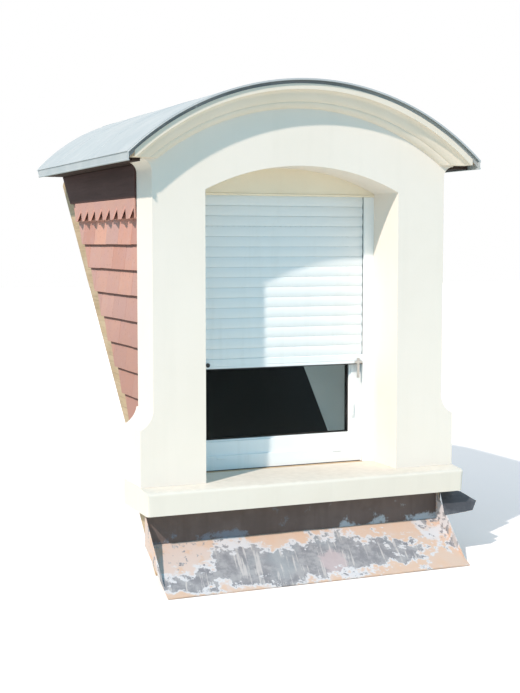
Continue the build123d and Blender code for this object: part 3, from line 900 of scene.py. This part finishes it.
def eaves_edge(side, name):
    """Metal fascia with a rolled bead along its foot, under the edge of the roof sheets."""
    node = name + "_eaves_fascia"
    foot, top, face = low(node).z + 0.004, high(node).z, half_roof - 0.0030
    back = face - 0.0018
    bead = arc_through((face, foot + 0.0075), (half_roof, foot + 0.0038), (face - 0.001, foot + 0.0002), 6)
    outline = [(back, top), (face, top)] + bead + [(face - 0.0040, foot + 0.0016), (back, foot + 0.0050)]
    piece = above_slope(front_shape(name + "_eaves_edge", outline, -overhang, high(node).y))
    smooth(piece)
    if side < 0:
        mirror_here(piece)
    hand_over(piece, zinc, "zinc", node)


def eaves_soffit(side, name):
    """Three dark boards under the side overhang, the inner one behind the surround's flare; their near-black stain is
    partly painted shade.
    """
    node = name + "_soffit"
    play, joint = 0.0005, 0.002
    x0, x1 = half_surround + play, half_roof - 0.0065
    foot, top, back = low(node).z, high(node).z, high(node).y
    middle = (flare_end + x1) / 2
    runs = ((x0, flare_end, exposed_side + play), (flare_end + 0.001, middle, 0.0), (middle, x1, 0.0))
    made = [round_edges(slab("board", start, end - joint, y0, back, foot, top), 0.0015) for start, end, y0 in runs]
    piece = above_slope(joined(name + "_soffit_boards", made))
    if sqrt(stone_radius ** 2 - (top - roof_centre) ** 2) < x1:
        carve(piece, rod("curve", at(0, 0.5, roof_centre), stone_radius, 2.4, "Y", 256), "INTERSECT")
    smooth(piece)
    if side < 0:
        mirror_here(piece)
    hand_over(piece, shaded_soffit_wood, "soffit", node)


# Cheeks

def flat_tile():
    """Clay tile with eased arrises, its outer foot along the Y axis."""
    thick, width, tall = tile_thickness - 0.0012, tile_width - tile_joint, course_gauge + 0.009
    piece = primitive("tile", "cube", size=1, location=(-thick / 2, width / 2, tall / 2), scale=(thick, width, tall))
    open_whole(piece)
    bpy.ops.mesh.subdivide(number_cuts=2)
    return round_edges(close(piece), 0.0016)


def cheek_tiles(side, name):
    """Courses of tiles in half bond, each with its own tone and a little out of true."""
    chance = random.Random(11 + side)
    tile = flat_tile()
    lean = -asin(tile_thickness / course_gauge)
    setback = 0.0010                           # keeps the tiles' ends clear of the plane that trims them
    laid = []
    z, course = strip_foot, 0
    while z + course_gauge > slope_height(exposed_side):
        y = exposed_side + setback - (course % 2) * tile_width / 2
        while slope_height(y) < z + course_gauge:
            twin = copied(tile)
            twin.location = at(half_surround - chance.uniform(0, 0.0012), y, z + chance.uniform(-0.0010, 0.0010))
            twin.rotation_euler = (radians(chance.uniform(-0.3, 0.3)), lean, 0)
            tone = chance.random()
            if z < flare_top and y < surround_depth:
                joined("tile", [twin])
                carve(twin, slab("plinth_room", 0.3, 0.9, -0.1, surround_depth, -0.5, flare_top))
            laid.append(toned(twin, tone))
            y += tile_width
        z -= course_gauge
        course += 1
    bpy.data.objects.remove(tile)
    whole = uneven(joined(name + "_cheek_tiling", laid), 0.0016, 0.045, "X")
    trim(whole, at(0, exposed_side, 0), (0, -1, 0))
    trim(whole, at(0, 0, board_foot), (0, 0, 1))
    smooth(above_slope(whole))
    if side < 0:
        mirror_here(whole)
    hand_over(whole, clay, "tiles", name + "_cheek_tiles")


def cover_strip(side, name):
    """Pleated strip of the CAD model with eased edges, its pleats a little fuller."""
    node = name + "_cover_strip"
    fuller, taller = 1.25, 1 + board_lift / (high(node).z - low(node).z)
    piece = from_node(name + "_pleated_strip", node, 0.0006, 1)
    resized(piece, at(side * half_surround, 0, low(node).z), (fuller, 1, taller))
    hand_over(toned(piece, 0.62), clay, "strip", node)


def eaves_board(name):
    node = name + "_eaves_board"
    lower = 1 - board_lift / (high(node).z - low(node).z)
    piece = resized(from_node(name + "_eaves_plank", node, 0.004, 3), at(0, 0, high(node).z), (1, 1, lower))
    hand_over(piece, brown_wood, "eaves_board", node)


def cheek_carcass(name):
    """Sheathing, studs with their plate, room lining and side kerb behind the tiles."""
    for part, node, ease, material, slot in (("_cheek_sheathing", "_cheek_board", 0.0012, sheathing, "boarding"),
                                             ("_cheek_studs", "_cheek_frame", 0.003, timber_upright, "framing"),
                                             ("_cheek_lining", "_lining", 0.0012, lining, "plaster"),
                                             ("_sloping_kerb", "_side_kerb", 0.004, timber_sloped, "framing")):
        hand_over(from_node(name + part, name + node, ease), material, slot, name + node)


def roof_carcass():
    """Ribs, kerbs and bearer of sawn timber with eased arrises, and the ceiling board."""
    for node in ("front_rib", "rear_rib", "front_kerb", "top_kerb", "window_bearer"):
        hand_over(from_node(node + "_timber", node, 0.003), timber, "framing", node)
    for node in ("ceiling_lining", "front_lining"):
        hand_over(from_node(node + "_board", node, 0.0012), lining, "plaster", node)


def tympanum():
    """Painted panel that closes the arch, with a fine bead along its foot; its warm, bright colour is painted bounce
    light.
    """
    panel = from_node("panel", "tympanum_panel", 0.001)
    bead_place = at(0, surround_depth - 0.0005, head_height + 0.006)
    bead = rod("bead", bead_place, 0.0030, 2 * half_opening + 0.04, "X", 12)
    piece = joined("tympanum_board", [panel, bead])
    hand_over(smooth(piece), tympanum_paint_painted_bounce, "tympanum", "tympanum_panel")


# Roller shutter

def slat_shape(gap):
    """Bowed slat with a gap at its foot."""
    z0, z1, bow = gap, slat_pitch - 0.0002, 0.0030
    face = arc_through((curtain_front + bow, z0), (curtain_front, slat_pitch / 2), (curtain_front + bow, z1), 10)
    outline = face + [(curtain_back, z1), (curtain_back, z0)]
    slat = side_shape("slat", [(y, curtain_foot + z) for y, z in outline], -curtain_half, curtain_half)
    return round_edges(slat, 0.0004, 1, 40)


def shutter_curtain():
    """Bowed slats that rest on each other, but for the top joints, where slots show between the necks."""
    closed, hung = slat_shape(0.0002), slat_shape(0.0012)
    open_joints = 3
    first_open = slat_count - open_joints
    pieces = []
    for i in range(slat_count):
        twin = copied(hung if i >= first_open else closed)
        twin.location.z = i * slat_pitch
        pieces.append(twin)
    bpy.data.objects.remove(closed)
    bpy.data.objects.remove(hung)
    neck_pitch, slot = 0.022, 0.0080
    count = int(2 * curtain_half / neck_pitch)
    start = -count * neck_pitch / 2
    joint = curtain_foot + first_open * slat_pitch
    neck = slab("neck", start, start + neck_pitch - slot, curtain_back - 0.0040, curtain_back - 0.0018,
                joint - 0.002, joint + 0.002)
    for step, number in (((neck_pitch, 0, 0), count), ((0, 0, slat_pitch), open_joints)):
        modified(neck, "ARRAY", use_relative_offset=False, use_constant_offset=True, constant_offset_displace=step,
                 count=number)
    top = curtain_foot + slat_count * slat_pitch
    head = slab("head", -curtain_half, curtain_half, curtain_front + 0.0008, curtain_back, top - 0.002,
                head_height - 0.0002)
    whole = joined("shutter_slats", pieces + [neck, head])
    hand_over(smooth(whole, 40), slat_white, "slats", "shutter_curtain")


def shutter_foot():
    """Bottom bar with a groove along its face, a rubber lip, a stop and a latch."""
    z = curtain_foot
    face, back = curtain_front - 0.0005, curtain_back + 0.0005
    bar_height, groove = 0.037, 0.0012
    outline = [(back, z), (back, z - bar_height), (face, z - bar_height), (face, z - 0.029),
               (face + groove, z - 0.028), (face + groove, z - 0.026), (face, z - 0.025), (face, z - 0.002),
               (face + 0.002, z)]
    bar = side_shape("shutter_bottom_rail", outline, -curtain_half, curtain_half)
    hand_over(round_edges(bar, 0.0008, 2, 40), slat_white, "slats", "shutter_bottom_bar")
    lip = slab("shutter_rubber_lip", -curtain_half, curtain_half, face + 0.002, back - 0.002, z - 0.041, z - 0.0365)
    hand_over(round_edges(lip, 0.001), rubber, "slats")

    x = -0.316
    stem = rod("stem", at(x, face - 0.004, z - 0.021), 0.0045, 0.010, "Y", 20)
    cap = rod("cap", at(x, face - 0.0105, z - 0.021), 0.0085, 0.006, "Y", 24)
    hand_over(joined("shutter_stop", [round_edges(stem, 0.0008), round_edges(cap, 0.0015)]), rubber, "slats")

    x, y = 0.3386, face - 0.0002
    strap = slab("strap", x - 0.006, x + 0.006, y - 0.003, y, 0.343, 0.424)
    cross = slab("cross", x - 0.017, x + 0.017, y - 0.006, y - 0.0028, 0.402, 0.412)
    screw = rod("screw", at(x, y - 0.0045, 0.352), 0.0038, 0.003, "Y", 16)
    hand_over(joined("shutter_latch", [round_edges(p, 0.0010) for p in (strap, cross, screw)]), steel, "slats")


def shutter_guide(side, name):
    """Guide with eased edges, a brush seal by the slats whose grey line is partly painted shade of the gap there, and
    capped screws.
    """
    guide = from_node(name + "_guide_rail", name + "_shutter_guide", 0.0012)
    first_cap, cap_spacing = 0.12, 0.28
    caps = []
    for i in range(4):
        place = at(side * (half_opening - 0.013), surround_depth - 0.0008, first_cap + i * cap_spacing)
        caps.append(round_edges(rod("cap", place, 0.0050, 0.0024, "Y", 20), 0.0008))
    whole = joined(name + "_guide_rail", [guide] + caps)
    hand_over(smooth(whole, 35), plastic, "white_frame", name + "_shutter_guide")
    # The seal's grey also stands partly for the shade in the gap beside the slat ends (painted shade).
    x0, x1 = sorted((side * (half_opening - 0.0418), side * (half_opening - 0.0444)))
    seal = slab(name + "_brush_seal_painted_gap_shade", x0, x1, curtain_front - 0.0005, curtain_front + 0.0020, curtain_foot, head_height)
    hand_over(round_edges(seal, 0.0006, 1), gap_shade_felt, "white_frame")


def shutter_box():
    """Roller box with a clip-on lid and its screws on the room side."""
    box = from_node("box", "shutter_box", 0.003)
    half, back, top = high("shutter_box")
    foot = low("shutter_box").z
    lid = slab("lid", 0.02 - half, half - 0.02, back - 0.0030, back + 0.0025, foot + 0.018, top - 0.022)
    round_edges(lid, 0.002)
    count, end_margin = 5, 0.06
    screws = []
    for i in range(count):
        x = (end_margin - half) + i * 2 * (half - end_margin) / (count - 1)
        screw = rod("screw", at(x, back + 0.0028, foot + 0.030), 0.0042, 0.0024, "Y", 18)
        screws.append(round_edges(screw, 0.0007))
    whole = joined("roller_box", [box, lid] + screws)
    hand_over(smooth(whole, 35), plastic, "white_frame", "shutter_box")


# Window

def ring(name, half, z0, z1, width, y0, y1):
    """Rectangular frame in the window's plane."""
    outer = slab(name, -half, half, y0, y1, z0, z1)
    return carve(outer, slab("room", -half + width, half - width, y0 - 0.1, y1 + 0.1, z0 + width, z1 - width))


def window():
    """Fixed frame and sash with eased profiles, drain caps, hinge covers, gaskets and double glazing."""
    profile = from_node("frame_profile", "window_frame", 0.0022, 3)
    cap_place, cap_half = 0.251, 0.019
    caps = []
    for side in (-1, 1):
        x = side * cap_place
        cap = slab("cap", x - cap_half, x + cap_half, frame_front - 0.0028, frame_front + 0.001, 0.0445, 0.0530)
        caps.append(round_edges(cap, 0.0022, 3))
    whole = joined("window_frame_profile", [profile] + caps)
    hand_over(smooth(whole, 35), plastic, "white_frame", "window_frame")

    profile = from_node("sash_profile", "sash", 0.0030, 3)
    rail, cover_half = 0.067, 0.026
    half, z0, z1 = high("sash").x - rail, low("sash").z + rail, high("sash").z - rail
    sash_front, glass_front, glass_back = low("sash").y, low("glass").y, high("glass").y
    bead = ring("bead", half + 0.0005, z0 - 0.0005, z1 + 0.0005, 0.0065, glass_front - 0.012, glass_front - 0.002)
    round_edges(bead, 0.0025, 3)
    covers = []
    for z in (0.211, head_height - 0.16):
        cover = slab("cover", 0.3135, 0.3300, sash_front - 0.0065, sash_front + 0.0010, z - cover_half, z + cover_half)
        covers.append(round_edges(cover, 0.0025, 3))
    whole = joined("window_sash_profile", [profile, bead] + covers)
    hand_over(smooth(whole, 35), plastic, "white_frame", "sash")

    inset = 0.0060
    outer = ring("outer", half - inset, z0 + inset, z1 - inset, 0.0030, glass_front - 0.0030, glass_front - 0.0002)
    inner = ring("inner", half - 0.0002, z0 + 0.0002, z1 - 0.0002, 0.0040, glass_back + 0.0002, glass_back + 0.0030)
    gaskets = [round_edges(p, 0.0008) for p in (outer, inner)]
    tape_half = half_opening + 0.02
    tape = slab("tape", -tape_half, tape_half, frame_front - 0.0012, frame_front + 0.0010, 0.0, 0.0030)
    hand_over(joined("window_gaskets", gaskets + [round_edges(tape, 0.0006, 1)]), rubber, "white_frame")

    half, z0, z1 = high("glass").x, low("glass").z, high("glass").z
    thick, edge = 0.004, 0.0010
    panes = []
    for y in (glass_front, glass_back - thick):
        panes.append(round_edges(slab("pane", -half, half, y, y + thick, z0, z1), 0.0005, 1))
    hand_over(joined("double_glazing", panes), pane, "glass", "glass")
    spacer = ring("glazing_spacer", half - edge, z0 + edge, z1 - edge, 0.0230, glass_front + 0.0042,
                  glass_back - 0.0042)
    hand_over(round_edges(spacer, 0.0006, 1), rubber, "white_frame")


# Flashings

def upstand():
    """Painted sheet below the sill, a little buckled."""
    start, end = low("front_upstand"), high("front_upstand")
    piece = slab("sill_upstand", start.x, end.x, -0.003, 0.0, start.z, end.z)
    sliced(sliced(piece, "X", 48), "Z", 6)
    uneven(piece, 0.0025, 0.16, "Y")
    hand_over(smooth(piece), upstand_paint_painted_shade, "upstand", "front_upstand")


def apron():
    """Worn tray that falls from the upstand, with a folded hem along its foot and turned-up sides."""
    node = "apron_flashing"
    sheet, hem, fold = 0.003, 0.014, 0.0014
    x0, x1 = low(node).x, high(node).x
    top = low("front_upstand").z
    foot = low(node).z + sheet
    reach = -low(node).y
    fall = (top - foot) / (reach - sheet)
    hem_top = foot + hem * fall
    section = [(0.0, top), (-sheet, top), (hem - reach, hem_top), (hem - reach, hem_top + fold),
               (-reach, foot + fold), (-reach, foot - sheet), (-sheet, top - sheet), (0.0, top - sheet)]
    tray = side_shape("tray", section, x0, x1)
    sliced(sliced(tray, "X", 60), "Y", 12)
    uneven(tray, 0.0040, 0.13, "Z")
    meeting = (top - tile_plane + fall * sheet) / (tan(pitch) - fall)
    side = [(0.0, top - 0.001), (0.0, slope_height(0)), (meeting, slope_height(meeting)), (-sheet, top - 0.001)]
    sides = [side_shape("side", side, x, x + sheet) for x in (x0, x1 - sheet)]
    piece = joined("apron_tray", [tray] + [round_edges(p, 0.0006, 1) for p in sides])
    hand_over(smooth(piece), terracotta, "apron", node)


def lead_flap():
    """Sheet dressed over the tiles beside the sill, dented by hand."""
    piece = from_node("dressed_lead_flap", "corner_flap", 0.0008, 1)
    sliced(sliced(piece, "X", 14), "Y", 10)
    uneven(piece, 0.0045, 0.05, "Z")
    hand_over(smooth(piece, 40), lead, "flap", "corner_flap")


surround()
sill()
cornice()
zinc_roof()
front_drip()
board_cover()
roof_boards()
tympanum()
for hand, word in ((-1, "left"), (1, "right")):
    eaves_edge(hand, word)
    eaves_soffit(hand, word)
    eaves_board(word)
    cheek_tiles(hand, word)
    cover_strip(hand, word)
    cheek_carcass(word)
    shutter_guide(hand, word)
roof_carcass()
shutter_curtain()
shutter_foot()
shutter_box()
window()
upstand()
apron()
lead_flap()


# Stage, light and camera

def stage_plane(name, size, location, turn=(0, 0, 0)):
    bpy.ops.object.select_all(action="DESELECT")
    bpy.ops.mesh.primitive_plane_add(size=size, location=location, rotation=turn)
    plane = bpy.context.object
    plane.name = name
    return plane


def pale_floor():
    """Floor that is plain and pale to the camera and throws warm light up near the object."""
    floor = stage_plane("studio_floor", 60, (0, 0, cad_low.z - 0.002))
    finish = Finish("pale_floor", 0.9)
    tree = finish.place.tree
    seen = signal(tree, "LightPath", "Is Camera Ray")
    away = signal(tree, "VectorMath", "Value", {0: finish.place}, operation="LENGTH")
    bounce = blended(away.ranged(1.6, 5.0), (0.98, 0.86, 0.70), (0.44, 0.42, 0.38))
    # For the camera the floor also glows orange where it is open to the sky, which keeps its shadow from turning blue
    # (painted light).
    open_sky = signal(tree, "AmbientOcclusion", "AO", {"Distance": 2.5}, samples=8)
    fill = blended(open_sky, (0, 0, 0), (0.45, 0.22, 0.06))
    feed(finish.inputs["Emission Color"], blended(seen, (0, 0, 0), fill))
    feed(finish.inputs["Emission Strength"], 1.0)
    floor.data.materials.append(finish.made(blended(seen, bounce, (0.92, 0.93, 0.95))))


def dark_room():
    """Black card behind the window, which only rays through the glass can see."""
    depth, behind_tiles = 0.9, 0.46
    card = stage_plane("dark_room_backdrop", 5, at(0, depth, slope_height(depth, behind_tiles)), (pitch, 0, 0))
    card.data.materials.append(Finish("unlit_room", 1.0).made((0.012, 0.013, 0.014)))
    for ray in ("camera", "diffuse", "glossy", "shadow", "volume_scatter"):
        setattr(card, "visible_" + ray, False)


def surroundings():
    """Blue sky light on the object, and white for the camera, reflections and glass."""
    world = bpy.data.worlds.new("studio")
    world.use_nodes = True
    bpy.context.scene.world = world
    tree = world.node_tree
    sky = tree.nodes["Background"]
    feed(sky.inputs["Color"], (0.30, 0.71, 1.0))
    feed(sky.inputs["Strength"], 0.82)
    white = signal(tree, "Background", 0, {"Color": (1, 1, 1), "Strength": 1.0})
    seen = signal(tree, "LightPath", "Is Camera Ray")
    for ray in ("Is Glossy Ray", "Is Transmission Ray"):
        seen = seen | signal(tree, "LightPath", ray)
    mix = signal(tree, "MixShader", 0, {0: seen, 1: Signal(tree, sky.outputs[0]), 2: white})
    feed(tree.nodes["World Output"].inputs["Surface"], mix)


def key_light():
    key = bpy.data.lights.new("key_light", "SUN")
    key.energy = 3.73
    key.angle = radians(1.5)
    key.color = (1.0, 0.875, 0.785)
    lamp = bpy.data.objects.new("key_light", key)
    lamp.rotation_euler = Vector((1.546, 1.0, -1.68)).to_track_quat("-Z", "Y").to_euler()
    bpy.context.scene.collection.objects.link(lamp)


def camera():
    """Camera at the photograph's angle."""
    place = Vector((-2.0789, -4.5434, 1.1170))
    target = Vector((-0.1837, -0.1000, 0.7288))
    eye = bpy.data.objects.new("camera", bpy.data.cameras.new("camera"))
    eye.data.lens = 67.27
    eye.location = place
    eye.rotation_euler = (target - place).to_track_quat("-Z", "Y").to_euler()
    bpy.context.scene.collection.objects.link(eye)
    bpy.context.scene.camera = eye


pale_floor()
dark_room()
surroundings()
key_light()
camera()
bpy.context.scene.view_settings.view_transform = "Standard"
